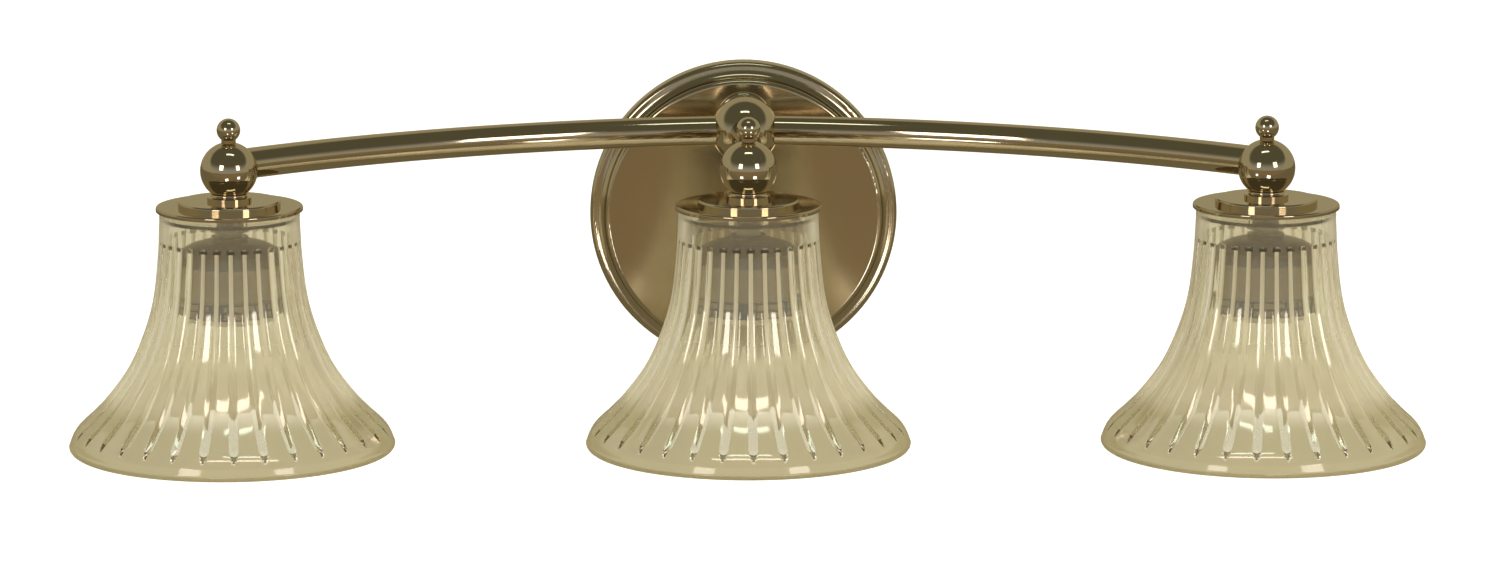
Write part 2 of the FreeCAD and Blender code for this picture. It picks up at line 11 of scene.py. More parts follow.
import bpy
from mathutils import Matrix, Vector


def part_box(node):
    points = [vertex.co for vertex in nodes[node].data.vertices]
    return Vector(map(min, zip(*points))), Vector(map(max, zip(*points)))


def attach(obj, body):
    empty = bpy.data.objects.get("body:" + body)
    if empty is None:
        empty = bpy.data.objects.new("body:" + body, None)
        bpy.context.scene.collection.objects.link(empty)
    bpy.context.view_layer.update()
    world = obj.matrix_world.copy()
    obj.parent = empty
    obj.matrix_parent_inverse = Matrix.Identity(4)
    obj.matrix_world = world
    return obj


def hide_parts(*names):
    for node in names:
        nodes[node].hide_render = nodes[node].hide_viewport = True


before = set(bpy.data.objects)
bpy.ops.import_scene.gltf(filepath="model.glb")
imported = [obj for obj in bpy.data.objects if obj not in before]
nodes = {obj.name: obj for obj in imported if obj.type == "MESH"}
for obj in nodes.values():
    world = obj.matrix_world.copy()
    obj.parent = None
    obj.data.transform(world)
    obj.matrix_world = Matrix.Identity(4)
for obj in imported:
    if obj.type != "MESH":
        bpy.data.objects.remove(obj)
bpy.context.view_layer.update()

MM = 0.001
lights = ("left", "centre", "right")

# %% [markdown]
# ## Places and sizes
# A new piece has to sit where the solid that it dresses sits. So its axis and its ends are read
# from that solid's box. Only what a box doesn't tell, such as the curve of the bell, is given in
# this file, in millimetres.

# %% Read the places that the dressing needs
def middle(node):
    """Middle of a node's box."""
    low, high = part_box(node)
    return (Vector(low) + Vector(high)) / 2


def height(node):
    """Lowest and highest level of a node."""
    low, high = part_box(node)
    return low[2], high[2]


def radius_of(node):
    """Radius of a round node that stands upright."""
    low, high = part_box(node)
    return (high[0] - low[0]) / 2


light_axis = {light: middle("screw_shell_" + light) for light in lights}
glass_low, glass_top = height("shade_centre")
print("glass from", round(glass_low, 4), "to", round(glass_top, 4), "m, mouth radius",
      round(radius_of("shade_centre"), 4))

# %% [markdown]
# ## Camera
# A long lens from three metres keeps the bells nearly parallel. The camera stands a little above
# the light, so each mouth shows as a flat ellipse and the tops of the caps can be seen.

# %% Stand the camera up
VIEW_LEFT = math.radians(0.97)
VIEW_ABOVE = math.radians(10.39)
VIEW_DISTANCE = 3.058
VIEW_TARGET = Vector((0.0, -0.060, 0.0012))
SENSOR_WIDTH = 36.0
FOCAL_LENGTH = 173.4
LENS_SHIFT = (0.0029, -0.0335)

camera_data = bpy.data.cameras.new("camera")
camera = bpy.data.objects.new("camera", camera_data)
bpy.context.scene.collection.objects.link(camera)
toward = Vector((-math.sin(VIEW_LEFT) * math.cos(VIEW_ABOVE),
                 -math.cos(VIEW_LEFT) * math.cos(VIEW_ABOVE), math.sin(VIEW_ABOVE)))
camera.location = VIEW_TARGET + toward * VIEW_DISTANCE
camera.rotation_euler = (-toward).to_track_quat("-Z", "Y").to_euler()
camera_data.sensor_width = SENSOR_WIDTH
camera_data.lens = FOCAL_LENGTH
camera_data.shift_x, camera_data.shift_y = LENS_SHIFT
bpy.context.scene.camera = camera
bpy.context.scene.view_settings.view_transform = "Standard"
print("camera at", [round(v, 3) for v in camera.location])

# %% [markdown]
# ## Colours and nodes
# Colours are written as the hex values that a paint chart or a screen shows, and turned to the
# linear values that the renderer wants in one place. One function adds a node with its settings
# and its links, so a material reads as a list of what it is made of. A Mix node has a set of
# sockets for each kind of value, all with the same names, so its colours are picked by number.

# %% Helpers for every material
FIRST, SECOND = 6, 7
MIXED = 2


def paint(hex_code):
    """Linear colour from an sRGB hex value."""
    channels = [int(hex_code[i:i + 2], 16) / 255 for i in (1, 3, 5)]
    linear = [c / 12.92 if c <= 0.04045 else ((c + 0.055) / 1.055) ** 2.4 for c in channels]
    return (*linear, 1.0)


def add(tree, kind, inputs=None, **settings):
    """Add a node with its settings. Each input is a socket to link, a hex colour or a plain value."""
    node = tree.nodes.new(kind)
    for name, value in settings.items():
        setattr(node, name, value)
    for name, value in (inputs or {}).items():
        if isinstance(value, bpy.types.NodeSocket):
            tree.links.new(value, node.inputs[name])
        else:
            node.inputs[name].default_value = paint(value) if isinstance(value, str) else value
    return node


def new_material(name):
    """Empty node material, and the tree to build in."""
    material = bpy.data.materials.new(name)
    material.use_nodes = True
    material.node_tree.nodes.clear()
    return material, material.node_tree


print("mid grey in linear values:", [round(c, 3) for c in paint("#808080")])

# %% [markdown]
# ## Floor
# The floor lies below the bells, as a bench would, and takes the light's soft shadow. It is white
# to the camera. Polished metal is only as good as what it mirrors, and an even white room would
# make it look like grey paint. So mirror rays find a warm bench instead, with tan boards in front
# of it. Rays that glass bends forward find the boards too. The Light Path node tells the rays
# apart. It calls a ray through rough glass glossy as well, so that share is taken off again.

# %% Lay the floor
FLOOR_DROP = 0.22
FLOOR_SIZE = 14.0
FLOOR_WHITE = "#F2F0EA"
FLOOR_GLOW = 0.45
BENCH = "#827A60"
BOARDS = "#938162"
BOARDS_FROM, BOARDS_FULL = -0.6, -1.2

bpy.ops.object.select_all(action="DESELECT")
bpy.ops.mesh.primitive_plane_add(size=FLOOR_SIZE, location=(0, 0, glass_low - FLOOR_DROP))
floor = bpy.context.object
floor.name = "floor"

floor_white, tree = new_material("floor_white")
ray = add(tree, "ShaderNodeLightPath").outputs
seen = add(tree, "ShaderNodeMath", {0: ray["Is Camera Ray"], 1: ray["Is Transmission Ray"]},
           operation="MAXIMUM")
glow = add(tree, "ShaderNodeMath", {0: seen.outputs[0], 1: FLOOR_GLOW}, operation="MULTIPLY")
pale = add(tree, "ShaderNodeBsdfPrincipled", {
    "Base Color": FLOOR_WHITE, "Roughness": 0.9,
    "Emission Color": "#FFFFFF", "Emission Strength": glow.outputs[0]})
place = add(tree, "ShaderNodeTexCoord")
side = add(tree, "ShaderNodeSeparateXYZ", {"Vector": place.outputs["Object"]})
front = add(tree, "ShaderNodeMapRange", {
    "Value": side.outputs["Y"], "From Min": BOARDS_FROM, "From Max": BOARDS_FULL},
    interpolation_type="SMOOTHSTEP")
tone = add(tree, "ShaderNodeMix", {"Factor": front.outputs["Result"], FIRST: BENCH, SECOND: BOARDS},
           data_type="RGBA")
bench = add(tree, "ShaderNodeEmission", {"Color": tone.outputs[MIXED]})
mirrored = add(tree, "ShaderNodeMath", {0: ray["Is Glossy Ray"], 1: ray["Is Transmission Ray"]},
               operation="SUBTRACT", use_clamp=True)
bent_forward = add(tree, "ShaderNodeMath", {0: ray["Is Transmission Ray"], 1: front.outputs["Result"]},
                   operation="MULTIPLY")
bench_share = add(tree, "ShaderNodeMath", {0: mirrored.outputs[0], 1: bent_forward.outputs[0]},
                  operation="MAXIMUM")
both = add(tree, "ShaderNodeMixShader", {0: bench_share.outputs[0], 1: pale.outputs[0], 2: bench.outputs[0]})
add(tree, "ShaderNodeOutputMaterial", {"Surface": both.outputs[0]})
floor.data.materials.append(floor_white)
print("floor at", round(glass_low - FLOOR_DROP, 3), "m")

# %% [markdown]
# ## Background
# The background is white to the camera as well. Mirror rays find a studio: a tan tent that is open
# towards the camera's side and above it, and beyond the opening a room that is grey at eye level
# and dark above. Rays through glass find the same room, but a white tent, so that the edges of the
# flutes catch dark lines while the glass stays clear. Light that falls on the object from all
# round comes from an even, nearly white sky.

# %% Hang the background
TENT = "#B2AD92"
TENT_THROUGH_GLASS = "#FFFFFF"
ROOM_AT_EYE = "#A9A9A2"
ROOM_ABOVE = "#646250"
ROOM_DARKENS = (0.10, 0.50)
OPENING_SIDE = (-0.01, -0.57, 0.82)
OPENING_EDGE = (0.25, 0.45)
AMBIENT = "#F0F0EE"
BACKGROUND = "#FFFEFB"

world = bpy.data.worlds.new("studio")
bpy.context.scene.world = world
world.use_nodes = True
tree = world.node_tree
tree.nodes.clear()
ray = add(tree, "ShaderNodeLightPath").outputs
direction = add(tree, "ShaderNodeTexCoord")
split = add(tree, "ShaderNodeSeparateXYZ", {"Vector": direction.outputs["Generated"]})
upward = add(tree, "ShaderNodeMapRange", {
    "Value": split.outputs["Z"], "From Min": ROOM_DARKENS[0], "From Max": ROOM_DARKENS[1]},
    interpolation_type="SMOOTHSTEP")
to_opening = add(tree, "ShaderNodeVectorMath", {0: direction.outputs["Generated"], 1: OPENING_SIDE},
                 operation="DOT_PRODUCT")
opening = add(tree, "ShaderNodeMapRange", {
    "Value": to_opening.outputs["Value"], "From Min": OPENING_EDGE[0], "From Max": OPENING_EDGE[1]},
    interpolation_type="SMOOTHSTEP")
room = add(tree, "ShaderNodeMix", {
    "Factor": upward.outputs["Result"], FIRST: ROOM_AT_EYE, SECOND: ROOM_ABOVE}, data_type="RGBA")
tent = add(tree, "ShaderNodeMix", {
    "Factor": ray["Is Transmission Ray"], FIRST: TENT, SECOND: TENT_THROUGH_GLASS}, data_type="RGBA")
studio = add(tree, "ShaderNodeMix", {
    "Factor": opening.outputs["Result"], FIRST: tent.outputs[MIXED], SECOND: room.outputs[MIXED]},
    data_type="RGBA")
lit = add(tree, "ShaderNodeMix", {
    "Factor": ray["Is Diffuse Ray"], FIRST: studio.outputs[MIXED], SECOND: AMBIENT}, data_type="RGBA")
seen = add(tree, "ShaderNodeMix", {
    "Factor": ray["Is Camera Ray"], FIRST: lit.outputs[MIXED], SECOND: BACKGROUND}, data_type="RGBA")
sky = add(tree, "ShaderNodeBackground", {"Color": seen.outputs[MIXED]})
add(tree, "ShaderNodeOutputWorld", {"Surface": sky.outputs[0]})
print("background has", len(tree.nodes), "nodes")

# %% [markdown]
# ## Lamps
# Seven soft lamps stand in for a room's windows and ceiling. Each is placed by how far it is
# turned from the front and lifted from the level, because that is what decides where polished
# metal and glass show it. A long panel overhead draws the thin line along the tubes. Two windows
# give the balls their bright squares, and two low ones light the lips of the bells. The two bars
# for the bells would spoil the balls, and the panel would spoil the glass, so light linking keeps
# each on its own pieces.

# %% Light the object
LAMP_AIM = Vector((0.0, -0.09, 0.0))
DAYLIGHT, COOL_DAYLIGHT = "#FFF6EE", "#FBF9FF"
GREENISH, PINKISH, MINT = "#F2FFF4", "#FFEBDF", "#E9FFF2"


def lamp(name, turn, lift, distance, size, brightness, tint):
    """Soft lamp at a turn and a lift in degrees from the front, with a brightness where 1 is white."""
    turn, lift = math.radians(turn), math.radians(lift)
    away = Vector((math.sin(turn) * math.cos(lift), -math.cos(turn) * math.cos(lift), math.sin(lift)))
    data = bpy.data.lights.new(name, "AREA")
    data.shape = "RECTANGLE"
    data.size, data.size_y = size
    data.energy = brightness * math.pi * size[0] * size[1]
    data.color = paint(tint)[:3]
    holder = bpy.data.objects.new(name, data)
    holder.location = LAMP_AIM + away * distance
    holder.rotation_euler = (-away).to_track_quat("-Z", "Y").to_euler()
    holder.visible_camera = False
    bpy.context.scene.collection.objects.link(holder)
    print(name, "is", distance, "m away,", round(data.energy, 2), "W")
    return holder


def shine_on(lamps, name, pieces):
    """Let lamps shine on some pieces only, by way of a collection of them."""
    lit_pieces = bpy.data.collections.new(name)
    for piece in pieces:
        lit_pieces.objects.link(piece)
    for each in lamps:
        each.light_linking.receiver_collection = lit_pieces


over_metal = [lamp("ceiling_panel", 0, 77, 2.1, (0.90, 0.22), 3.0, GREENISH)]
lamp("left_window", -33, 19, 2.3, (0.55, 0.70), 5.0, DAYLIGHT)
lamp("right_window", 36, 19, 2.3, (0.55, 0.70), 5.0, DAYLIGHT)
lamp("left_low_window", -27, -20, 0.62, (0.11, 0.09), 4.0, COOL_DAYLIGHT)
lamp("right_low_window", 25, -20, 0.62, (0.13, 0.11), 4.0, COOL_DAYLIGHT)
over_bells = [lamp("bell_softbox", 0, 57, 1.5, (1.15, 0.14), 5.5, PINKISH),
              lamp("bell_bar", 0, 70, 1.5, (0.62, 0.10), 5.0, MINT)]
shades = ["shade_" + light for light in lights]
shine_on(over_metal, "lit_metal", [node for name, node in nodes.items() if name not in shades])

# %% [markdown]
# ## Plated brass
# The arms, balls, caps and the wall plate are brass, polished and plated with warm nickel, then
# lacquered. The eye gets a mirror with a tan tint, a little haze from the lacquer, and faint
# patches where the plate is thinner. So the metal is fully metallic, its roughness is low and
# wanders a little, and two close tints are mixed by a slow noise of about 25 mm. Polishing leaves
# marks of a few hundredths of a millimetre, too fine to show, so the grain is drawn about 1 mm
# wide. The socket's nickel, the zinc on the steel fittings and the bare brass of the contacts are
# made the same way, only duller.

# %% Make the plated metals
EDGE_TINT = "#F0E8D8"
LACQUER = 0.15
LACQUER_ROUGHNESS = 0.08
METAL_GRAIN = 0.25


def plated(name, tint, deeper_tint, smooth, hazy, patch_mm, grain_mm, grain_height):
    """Polished and plated metal: two tints in patches, wandering gloss and a fine grain."""
    material, tree = new_material(name)
    place = add(tree, "ShaderNodeTexCoord")
    patches = add(tree, "ShaderNodeTexNoise", {
        "Vector": place.outputs["Object"], "Scale": 1 / (patch_mm * MM), "Detail": 3.0})
    tone = add(tree, "ShaderNodeMix", {"Factor": patches.outputs["Fac"], FIRST: tint, SECOND: deeper_tint},
               data_type="RGBA")
    gloss = add(tree, "ShaderNodeMapRange", {
        "Value": patches.outputs["Fac"], "To Min": smooth, "To Max": hazy})
    grain = add(tree, "ShaderNodeTexNoise", {
        "Vector": place.outputs["Object"], "Scale": 1 / (grain_mm * MM), "Detail": 2.0})
    relief = add(tree, "ShaderNodeBump", {
        "Height": grain.outputs["Fac"], "Strength": METAL_GRAIN, "Distance": grain_height * MM})
    surface = add(tree, "ShaderNodeBsdfPrincipled", {
        "Base Color": tone.outputs[MIXED], "Metallic": 1.0, "Roughness": gloss.outputs["Result"],
        "Normal": relief.outputs[0], "Specular Tint": EDGE_TINT,
        "Coat Weight": LACQUER, "Coat Roughness": LACQUER_ROUGHNESS})
    add(tree, "ShaderNodeOutputMaterial", {"Surface": surface.outputs[0]})
    return material


plated_brass = plated("plated_brass", "#CEC0A6", "#C2B498", 0.05, 0.09, 25.0, 1.2, 0.008)
spun_brass = plated("spun_brass", "#CEC0A6", "#C2B498", 0.12, 0.16, 30.0, 0.9, 0.006)
socket_nickel = plated("socket_nickel", "#978760", "#83734E", 0.30, 0.40, 12.0, 0.8, 0.02)
# A darker copy of the socket's nickel for the socket's dome: painted shade, for the dome sits tucked under
# the cap.
painted_shade_nickel = plated("painted_shade_nickel", "#5A5240", "#463F30", 0.30, 0.42, 9.0, 0.8, 0.03)
# A near-black nickel: painted shade for the gaps between the blocks of the knurled ring.
painted_shade_black = plated("painted_shade_black", "#3B362C", "#2C2821", 0.40, 0.50, 6.0, 0.8, 0.03)
bright_brass = plated("bright_brass", "#D8B464", "#C49A4A", 0.20, 0.30, 6.0, 0.6, 0.02)
zinc_steel = plated("zinc_steel", "#A9AAA6", "#8E8F8A", 0.30, 0.42, 8.0, 0.7, 0.05)
green_zinc = plated("green_zinc", "#2F7A46", "#25633A", 0.30, 0.40, 4.0, 0.5, 0.03)
metals = (plated_brass, spun_brass, socket_nickel, painted_shade_nickel, painted_shade_black, bright_brass, zinc_steel,
          green_zinc)
print("metals:", [metal.name for metal in metals])

# %% [markdown]
# ## Plain mouldings
# Inside the fitting are a glazed socket body, pale fibre washers, rubbery lead sleeves and the
# moulded caps that join the leads. They share one recipe: a colour that varies a little, the gloss
# that each material has, and a grain that is again drawn coarser than the real one, to show.

# %% Make the mouldings
MOULDED_GRAIN = 0.4
GLAZE_ROUGHNESS = 0.1


def moulded(name, tint, deeper_tint, roughness, patch_mm, grain_mm, grain_height, glaze=0.0):
    """Non-metal with a slightly varied colour and a fine surface grain."""
    material, tree = new_material(name)
    place = add(tree, "ShaderNodeTexCoord")
    patches = add(tree, "ShaderNodeTexNoise", {
        "Vector": place.outputs["Object"], "Scale": 1 / (patch_mm * MM), "Detail": 3.0})
    tone = add(tree, "ShaderNodeMix", {"Factor": patches.outputs["Fac"], FIRST: tint, SECOND: deeper_tint},
               data_type="RGBA")
    grain = add(tree, "ShaderNodeTexNoise", {
        "Vector": place.outputs["Object"], "Scale": 1 / (grain_mm * MM), "Detail": 2.0})
    relief = add(tree, "ShaderNodeBump", {
        "Height": grain.outputs["Fac"], "Strength": MOULDED_GRAIN, "Distance": grain_height * MM})
    surface = add(tree, "ShaderNodeBsdfPrincipled", {
        "Base Color": tone.outputs[MIXED], "Roughness": roughness, "Normal": relief.outputs[0],
        "Coat Weight": glaze, "Coat Roughness": GLAZE_ROUGHNESS})
    add(tree, "ShaderNodeOutputMaterial", {"Surface": surface.outputs[0]})
    return material


glazed_white = moulded("glazed_white", "#EDE8DC", "#DDD6C6", 0.25, 9.0, 1.5, 0.04, glaze=0.6)
pale_fibre = moulded("pale_fibre", "#C9BFA8", "#B4A98F", 0.75, 3.0, 0.3, 0.08)
black_sleeve = moulded("black_sleeve", "#1C1C1D", "#2A2A2A", 0.55, 5.0, 0.5, 0.05)
orange_cap = moulded("orange_cap", "#C8641E", "#B25415", 0.35, 6.0, 0.8, 0.03)
print("mouldings:", [material.name for material in (glazed_white, pale_fibre, black_sleeve, orange_cap)])

# %% [markdown]
# ## Pressed glass with a tea lustre
# The bells are pressed soda glass with a tea-coloured lustre fired on the outside. The eye gets
# clear glass behind a thin milky veil: the white behind it and the dark plate behind it both turn
# to much the same tan, and lamps still glint on the flutes. So the body is a full glass shader
# with the usual index of 1.5, a soft ripple from the mould in its bump, and the flutes are in the
# mesh. The flat top has a deeper tint than the walls, since light goes a long way through it. The
# steep ends of the flutes turn light away from the eye, so they get a dark tint.

# %% Make the body of the glass
GLASS_TINT = "#E8E4D0"
THICK_TINT = "#B8AC84"
END_TINT = "#453D29"
THICK_BELOW_TOP = (5.0, 3.0)
RIPPLE_SIZE = 9.0
RIPPLE_HEIGHT = 0.12


def glass_body(tree, tint):
    """Clear tinted glass; gives its shader, its bumped normal and the level of a place on it."""
    place = add(tree, "ShaderNodeTexCoord")
    ripple = add(tree, "ShaderNodeTexNoise", {
        "Vector": place.outputs["Object"], "Scale": 1 / (RIPPLE_SIZE * MM), "Detail": 1.0})
    relief = add(tree, "ShaderNodeBump", {
        "Height": ripple.outputs["Fac"], "Strength": 0.3, "Distance": RIPPLE_HEIGHT * MM})
    level = add(tree, "ShaderNodeSeparateXYZ", {"Vector": place.outputs["Object"]}).outputs["Z"]
    start, end = [glass_top - below * MM for below in THICK_BELOW_TOP]
    thick = add(tree, "ShaderNodeMapRange", {"Value": level, "From Min": start, "From Max": end},
                interpolation_type="SMOOTHSTEP")
    tone = add(tree, "ShaderNodeMix", {"Factor": thick.outputs["Result"], FIRST: tint, SECOND: THICK_TINT},
               data_type="RGBA")
    body = add(tree, "ShaderNodeBsdfPrincipled", {
        "Base Color": tone.outputs[MIXED], "Normal": relief.outputs[0], "Roughness": 0.04, "IOR": 1.5,
        "Transmission Weight": 1.0})
    return body.outputs[0], relief.outputs[0], level


tea_glass, tree = new_material("tea_glass")
add(tree, "ShaderNodeOutputMaterial", {"Surface": glass_body(tree, GLASS_TINT)[0]})
print("tea glass has", len(tree.nodes), "nodes")

# %% [markdown]
# ## Where the lustre lies
# A lustre is a film of metal oxide, and it covers only a share of the glass. It was sprayed from
# below, so it is heaviest on the lip and thin on the neck, but it has gathered in the flutes there,
# and has run off their pointed ends. Each of these shares changes between two heights above the
# lip, so it is a ramp on the level of a place.

# %% Work out how much of the glass the film covers
FLARE = (32, 60)
LUSTRE_ON_FLARE, LUSTRE_ON_NECK = 0.62, 0.18
LIP_SPRAY = (16, 40)
LUSTRE_AT_LIP = 0.86
GATHERED = (40, 60)
FLUTES_ON_FLARE, FLUTES_ON_NECK = 0.46, 0.68
FLUTE_TIPS = (7, 12)
FLUTES_AT_TIPS = 0.12
LUSTRE_ON_ENDS = 0.05


def above_lip(heights):
    """Inputs of a ramp between two heights above the lip in mm."""
    return {"From Min": glass_low + heights[0] * MM, "From Max": glass_low + heights[1] * MM}


def film_share(tree, level, part):
    """Share of the glass that the film covers, on a crown, in a flute or at a flute's end."""
    if part == "flute end":
        return LUSTRE_ON_ENDS
    if part == "flute":
        gathered = add(tree, "ShaderNodeMapRange", {
            "Value": level, **above_lip(GATHERED), "To Min": FLUTES_ON_FLARE, "To Max": FLUTES_ON_NECK})
        film = add(tree, "ShaderNodeMapRange", {
            "Value": level, **above_lip(FLUTE_TIPS), "To Min": FLUTES_AT_TIPS,
            "To Max": gathered.outputs["Result"]})
        return film.outputs["Result"]
    flare = add(tree, "ShaderNodeMapRange", {
        "Value": level, **above_lip(FLARE), "To Min": LUSTRE_ON_FLARE, "To Max": LUSTRE_ON_NECK},
        interpolation_type="SMOOTHSTEP")
    at_lip = add(tree, "ShaderNodeMapRange", {
        "Value": level, **above_lip(LIP_SPRAY), "To Min": LUSTRE_AT_LIP, "To Max": 0.0},
        interpolation_type="SMOOTHSTEP")
    film = add(tree, "ShaderNodeMath", {0: flare.outputs["Result"], 1: at_lip.outputs["Result"]},
               operation="MAXIMUM")
    return film.outputs[0]


print("film on a crown:", LUSTRE_ON_NECK, "on the neck,", LUSTRE_AT_LIP, "at the lip")

# %% [markdown]
# ## Lustre over the glass
# Half of the light that meets the film scatters back and half scatters through, and over both lies
# the gloss of a surface whose index is near 2. Looked at along the surface the film covers more,
# as any film does. Higher up, the eye looks through the front and the back of the bell, but near
# the lip through one wall alone, so the film there gets a deeper tint. The lustre is on the outer
# faces only, and its gloss is taken off where a ray meets them from within.

# %% Make the lustred glass
LUSTRE_TINT = "#F4EAC8"
LIP_TINT = "#C1B58B"
SHEEN_TINT = "#FFFBF0"
ONE_WALL = (17, 27)
SLANT = (0.20, 0.75)
LUSTRE_ON_SLANT = 0.92
LUSTRE_INDEX = 2.0
ROUND_OF_LIP = (5, 9)
SHEEN_ON_LIP, SHEEN_LIMIT = 0.06, 0.30


def lustred(name, part, body_tint=GLASS_TINT):
    """Glass with the film of a crown, a flute or a flute's end over it."""
    material, tree = new_material(name)
    body, relief, level = glass_body(tree, body_tint)
    slant = add(tree, "ShaderNodeLayerWeight", {"Blend": 0.5})
    along = add(tree, "ShaderNodeMapRange", {
        "Value": slant.outputs["Facing"], "From Min": SLANT[0], "From Max": SLANT[1],
        "To Min": 0.0, "To Max": LUSTRE_ON_SLANT}, interpolation_type="SMOOTHSTEP")
    covered = add(tree, "ShaderNodeMath", {0: film_share(tree, level, part), 1: along.outputs["Result"]},
                  operation="MAXIMUM")
    one_wall = add(tree, "ShaderNodeMapRange", {
        "Value": level, **above_lip(ONE_WALL), "To Min": 1.0, "To Max": 0.0}, interpolation_type="SMOOTHSTEP")
    tone = add(tree, "ShaderNodeMix", {
        "Factor": one_wall.outputs["Result"], FIRST: LUSTRE_TINT, SECOND: LIP_TINT}, data_type="RGBA")
    back = add(tree, "ShaderNodeBsdfDiffuse", {"Color": tone.outputs[MIXED]})
    through = add(tree, "ShaderNodeBsdfTranslucent", {"Color": tone.outputs[MIXED]})
    film = add(tree, "ShaderNodeMixShader", {1: back.outputs[0], 2: through.outputs[0]})
    veiled = add(tree, "ShaderNodeMixShader", {0: covered.outputs[0], 1: body, 2: film.outputs[0]})
    facing = add(tree, "ShaderNodeNewGeometry")
    mirrored = add(tree, "ShaderNodeFresnel", {"Normal": relief, "IOR": LUSTRE_INDEX})
    outside = add(tree, "ShaderNodeMath", {0: mirrored.outputs[0], 1: facing.outputs["Backfacing"]},
                  operation="SUBTRACT", use_clamp=True)
    limit = add(tree, "ShaderNodeMapRange", {
        "Value": level, **above_lip(ROUND_OF_LIP), "To Min": SHEEN_ON_LIP, "To Max": SHEEN_LIMIT})
    share = add(tree, "ShaderNodeMath", {0: outside.outputs[0], 1: limit.outputs["Result"]},
                operation="MINIMUM")
    sheen = add(tree, "ShaderNodeBsdfGlossy", {"Normal": relief, "Color": SHEEN_TINT, "Roughness": 0.07})
    surface = add(tree, "ShaderNodeMixShader", {
        0: share.outputs[0], 1: veiled.outputs[0], 2: sheen.outputs[0]})
    add(tree, "ShaderNodeOutputMaterial", {"Surface": surface.outputs[0]})
    print(name, "has", len(tree.nodes), "nodes")
    return material


lustred_glass = lustred("lustred_glass", "crown")
flute_glass = lustred("flute_glass", "flute")
flute_end_glass = lustred("flute_end_glass", "flute end", END_TINT)

# %% [markdown]
# ## Dress the ready-made metal
# Each solid of the construction already has its right shape, so it only gets its finish. The
# loop gives every node the material of its kind, by the longest of these beginnings of its name.

# %% Give each node its finish
finishes = {
    "backplate": spun_brass, "hub_post": plated_brass, "hub_ball": plated_brass, "arm_": plated_brass,
    "finial_": plated_brass, "ball_": plated_brass, "collar_": plated_brass, "cap_": plated_brass,
    "wall_strap": zinc_steel, "canopy_set_screws": zinc_steel, "hub_": zinc_steel, "nipple_": zinc_steel,
    "steel_washer_": zinc_steel, "lock_nut_": zinc_steel, "ground_screw": green_zinc,
    "gasket_": pale_fibre, "shade_washer_": pale_fibre, "shade_": tea_glass,
    # The socket's dome gets the darker nickel that is painted shade under the cap.
    "socket_cap_": painted_shade_nickel, "socket_sleeve_": socket_nickel, "insulator_": glazed_white,
    "screw_shell_": bright_brass, "centre_contact_": bright_brass,
    "lamp_leads": black_sleeve, "wire_connectors": orange_cap,
}
for name, node in nodes.items():
    kind = max((beginning for beginning in finishes if name.startswith(beginning)), key=len)
    node.data.materials.clear()
    node.data.materials.append(finishes[kind])
print("dressed", len(nodes), "nodes")

# %% [markdown]
# ## The glass bell's section
# A bell shade is pressed in a mould: a flat top with a hole for the nipple, a short smooth neck,
# a long flare, and a thick rounded lip. The flare is a smooth curve through a few points that
# give its radius at each depth in millimetres below the top of the cap. The curve is cut into rows
# that lie close together only where a flute begins and ends, since the mesh needs them there.

# %% Draw the outer curve of the bell
CAP_AND_GASKET = 1.4 * MM
CAP_TOP = glass_top + CAP_AND_GASKET
BELL = [(29.0, 6.0), (29.9, 21.5), (32.0, 38.95), (36.3, 53.9),
        (43.2, 69.0), (54.2, 83.65), (64.3, 93.55), (67.6, 100.3)]
ROWS_PER_POINT = 40
FLUTE_START = 13.6
FLUTE_END = 95.6


def smooth_through(points, rows):
    """Smooth curve through points: each stretch is a cubic whose slopes come from the neighbours."""
    curve = []
    for i in range(len(points) - 1):
        before = points[max(i - 1, 0)]
        start, end = points[i], points[i + 1]
        after = points[min(i + 2, len(points) - 1)]
        for row in range(rows):
            t = row / rows
            weights = (((-t + 2) * t - 1) * t / 2, ((3 * t - 5) * t * t + 2) / 2,
                       ((-3 * t + 4) * t + 1) * t / 2, (t - 1) * t * t / 2)
            curve.append(tuple(sum(w * p[axis] for w, p in zip(weights, (before, start, end, after)))
                               for axis in (0, 1)))
    return curve + [points[-1]]


def radius_at(depth):
    """Radius of the outer curve at a depth below the top of the cap."""
    for upper, lower in zip(outer_curve, outer_curve[1:]):
        if depth <= lower[1]:
            share = (depth - upper[1]) / (lower[1] - upper[1])
            return upper[0] + share * (lower[0] - upper[0])
    return outer_curve[-1][0]


outer_curve = smooth_through(BELL, ROWS_PER_POINT)
neck_rows = [6.0, 8.0, 10.0]
blunt_rows = [FLUTE_START + step for step in (-1.3, -0.3, 0.0, 0.2, 0.4, 0.6, 0.8, 1.0, 1.3, 1.8, 2.6)]
point_rows = [FLUTE_END - step for step in (7.0, 5.8, 4.8, 4.0, 3.3, 2.7, 2.1, 1.6, 1.1, 0.7, 0.3, 0.0)]
long_rows = [FLUTE_START + 4 + 2.2 * step for step in range(31)]
long_rows = [depth for depth in long_rows if depth < point_rows[0] - 0.8]
rim_rows = [96.2, 97.2, 98.4, 99.5, 100.3]
outside = [(radius_at(depth), depth) for depth in neck_rows + blunt_rows + long_rows + point_rows + rim_rows]
print("outer curve has", len(outside), "rows from", outside[0], "to", outside[-1])

# %% [markdown]
# ## The rest of the section
# The inside is the same curve, moved in by the wall, square to the curve. Close to the mouth the
# wall grows to the width of the lip, and the move turns level, so that both curves end at one
# depth and a half circle can join them. A small round breaks the top edge. The closed section
# starts as a circle with as many corners as it needs, which are then dragged to their places.

# %% Draw the inside, the lip and the top
GLASS_WALL = 2.6
WALL_GROWS_LATE = 8
TURNS_LEVEL_LATE = 16
LIP = 2.3
SHOULDER = 0.8
TOP_THICK = 3.0
INNER_CORNER = 1.2
HOLE = 5.6
INSIDE_EVERY = 10
LIP_STEPS = 8
SHOULDER_STEPS = 5


def only(piece):
    """Select one object and nothing else."""
    bpy.ops.object.select_all(action="DESELECT")
    piece.select_set(True)
    bpy.context.view_layer.objects.active = piece


